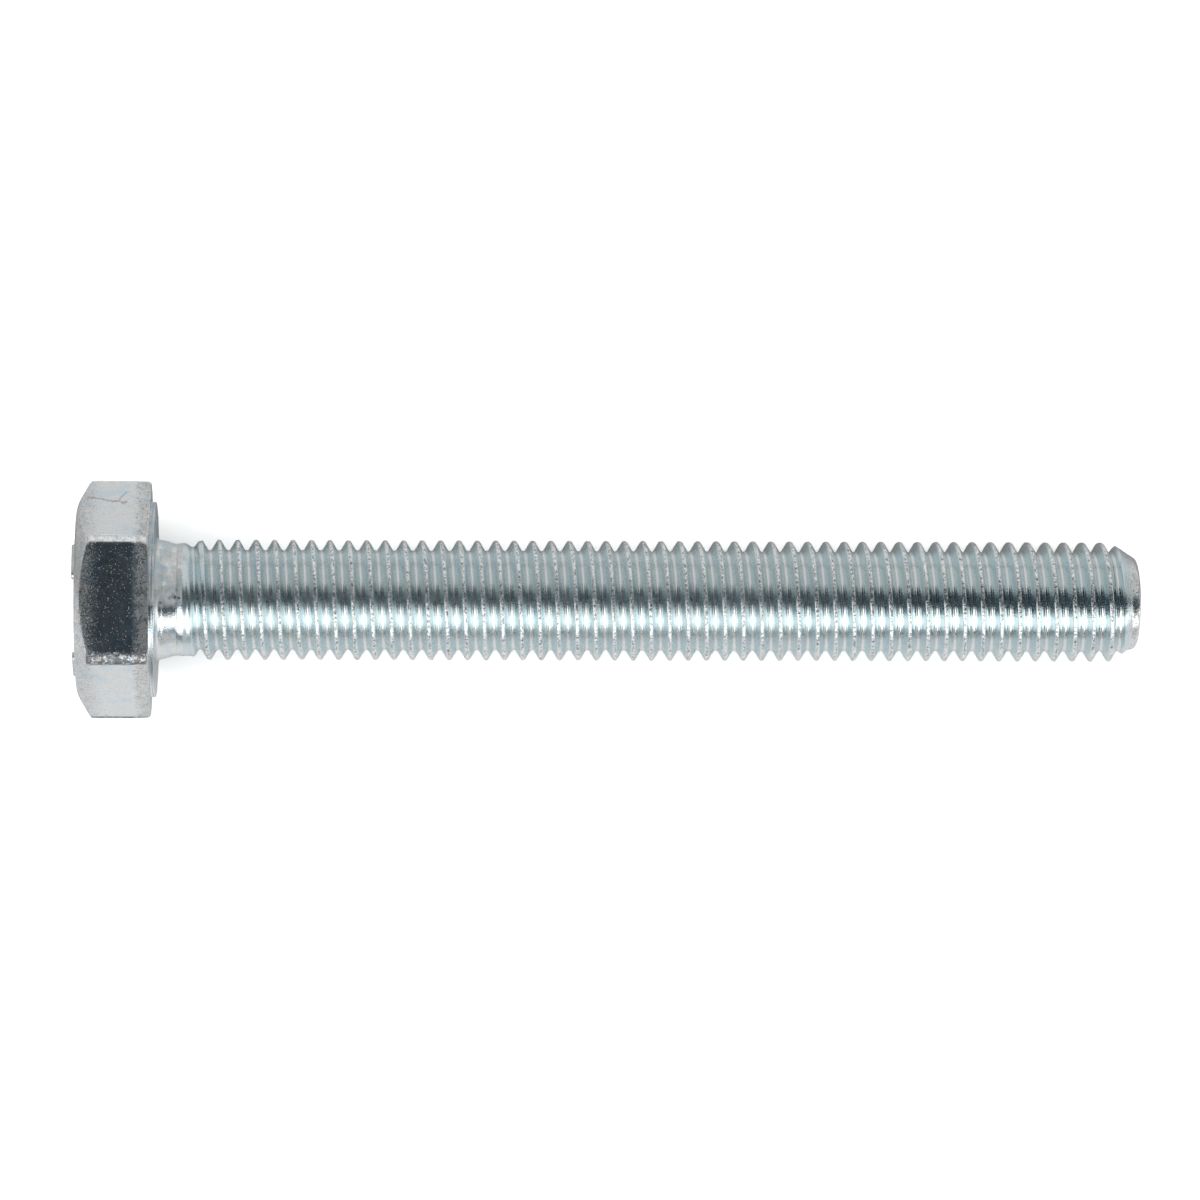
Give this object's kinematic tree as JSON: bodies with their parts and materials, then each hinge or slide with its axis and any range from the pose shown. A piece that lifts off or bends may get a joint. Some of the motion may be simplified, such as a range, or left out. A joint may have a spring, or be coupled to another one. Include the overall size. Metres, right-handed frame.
{
  "type": "hex bolt",
  "caption": "Hex-head bolt with a chamfered hexagonal head, a washer face, a short plain neck and a coarse rolled thread along its whole length, ending in a chamfered point.",
  "frame": {"origin": "centre of the head's flat end, on the bolt's axis", "axes": "+X along the bolt's axis, from the head to the tip; +Z square to one wrench flat; +Y towards a corner of the hexagon"},
  "size_m": [0.0867, 0.0194, 0.017],
  "materials": {
    "zinc_plated_head": "bright zinc plate over forged steel, satin, with pits and forging marks",
    "zinc_plated_neck": "bright zinc plate over drawn steel, smooth",
    "zinc_plated_thread": "bright zinc plate over a rolled thread, smooth on the flanks and crinkled on the crests"
  },
  "bodies": {
    "root": {"hex_head": "zinc_plated_head", "head_bar_1": "zinc_plated_head", "head_bar_2": "zinc_plated_head", "head_bar_3": "zinc_plated_head", "head_bar_4": "zinc_plated_head", "washer_face": "zinc_plated_neck", "plain_neck": "zinc_plated_neck", "threaded_shank": "zinc_plated_thread", "chamfered_point": "zinc_plated_thread"}
  },
  "joints": []
}
